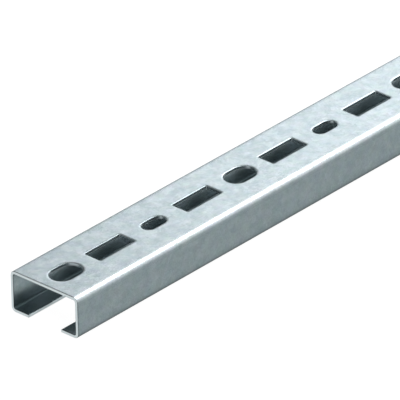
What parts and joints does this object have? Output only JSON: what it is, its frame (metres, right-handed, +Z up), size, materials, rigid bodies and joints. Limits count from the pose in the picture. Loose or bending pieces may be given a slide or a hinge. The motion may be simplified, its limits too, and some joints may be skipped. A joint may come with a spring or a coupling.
{
  "type": "perforated strut channel",
  "caption": "Light C-section strut channel of galvanised steel with a row of round-ended and rectangular slots punched in its web, for hanging pipes and cable trays.",
  "frame": {"origin": "middle of the footprint, on the surface that the two lips rest on", "axes": "+X along the length, +Y across the width, +Z up from the lips to the punched web"},
  "size_m": [0.3, 0.035, 0.018],
  "materials": {
    "galvanised_steel": "strip-galvanised, satin with faint spangle"
  },
  "bodies": {
    "root": {"channel": "galvanised_steel"}
  },
  "joints": []
}
